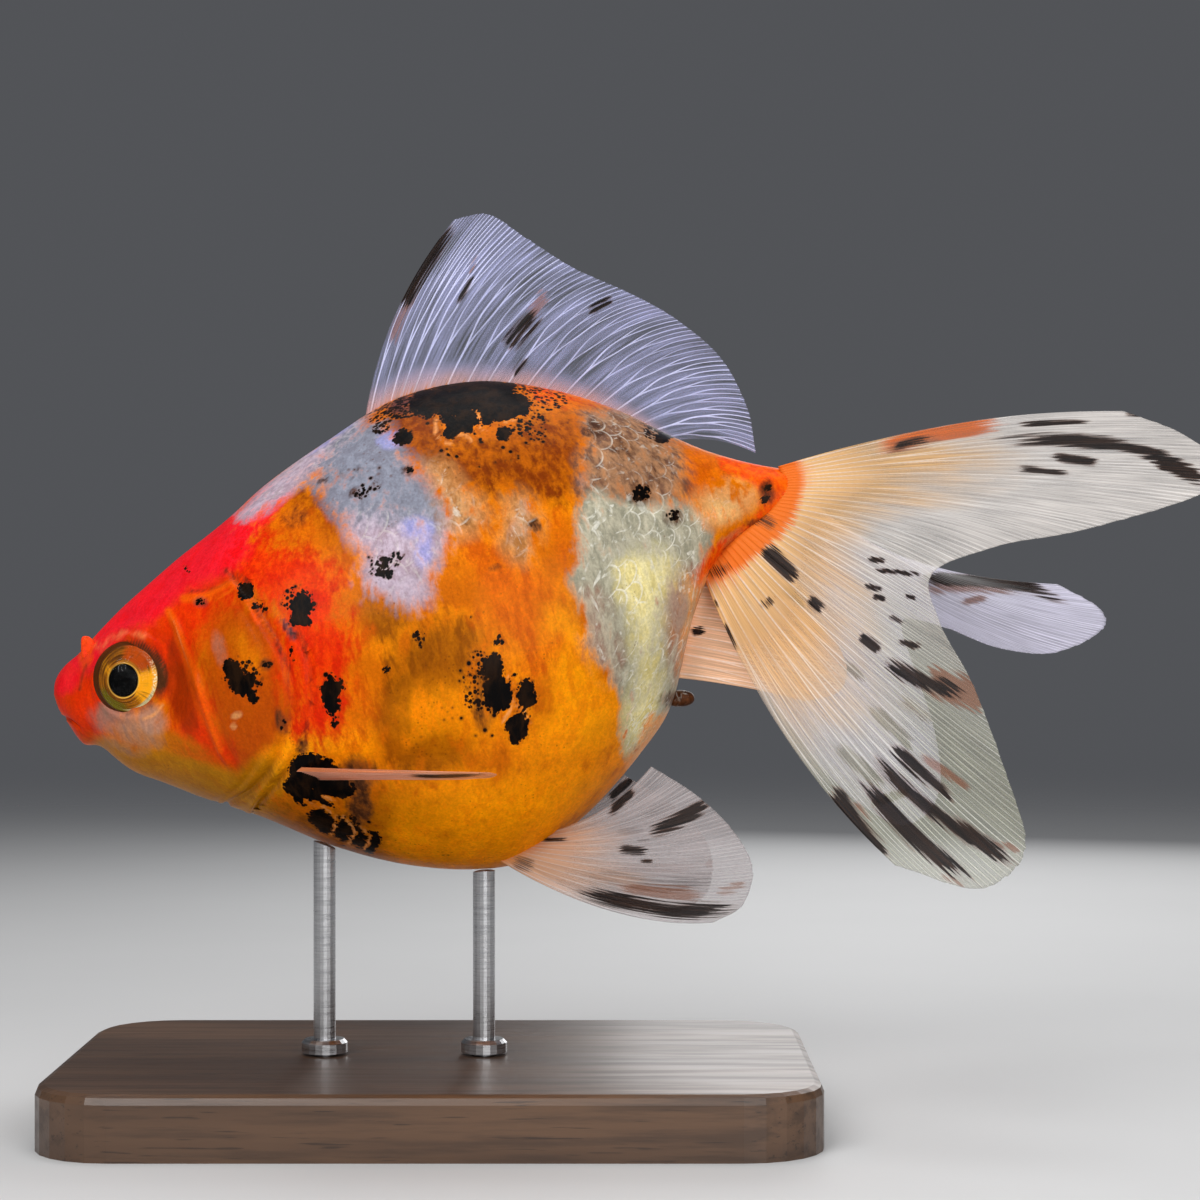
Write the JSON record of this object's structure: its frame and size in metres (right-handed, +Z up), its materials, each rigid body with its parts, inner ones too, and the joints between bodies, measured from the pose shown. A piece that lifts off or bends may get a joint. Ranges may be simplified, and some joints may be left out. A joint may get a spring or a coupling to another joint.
{
  "type": "calico fancy goldfish model",
  "caption": "Life-size still model of a calico fancy goldfish with a deep round body, a tall dorsal fin and a spread, divided tail, held over a flat base on thin rods.",
  "frame": {"origin": "centre of the stand base's underside", "axes": "-X towards the snout and +X towards the tail, -Y to the fish's left side, +Z up"},
  "size_m": [0.1288, 0.0677, 0.1023],
  "materials": {
    "red_skin": "moist satin, hot red",
    "orange_skin": "moist satin, orange with black specks",
    "pearl_skin": "moist satin, pearl and orange",
    "vent_skin": "satin brown",
    "eye": "clear gloss over a gold iris and a black pupil",
    "clear_fin": "clear white membrane over pale rays",
    "warm_fin": "cream membrane over pale rays",
    "stand_wood": "dark satin",
    "stand_steel": "satin"
  },
  "bodies": {
    "root": {"mouth": "red_skin", "head": "red_skin", "nostril_flap_left": "red_skin", "nostril_flap_right": "red_skin", "gill_cover_left": "orange_skin", "gill_cover_right": "orange_skin", "trunk": "orange_skin", "tail_stalk": "pearl_skin", "vent": "vent_skin", "eye_left": "eye", "eye_right": "eye", "dorsal_fin": "clear_fin", "pectoral_fin_left": "warm_fin", "pectoral_fin_right": "warm_fin", "pelvic_fin_left": "clear_fin", "pelvic_fin_right": "clear_fin", "anal_fin_left": "warm_fin", "anal_fin_right": "warm_fin", "tail_fin_left_upper": "clear_fin", "tail_fin_left_lower": "warm_fin", "tail_fin_right_upper": "clear_fin", "tail_fin_right_lower": "warm_fin", "stand_base": "stand_wood", "stand_rod_front": "stand_steel", "stand_rod_rear": "stand_steel"}
  },
  "joints": []
}
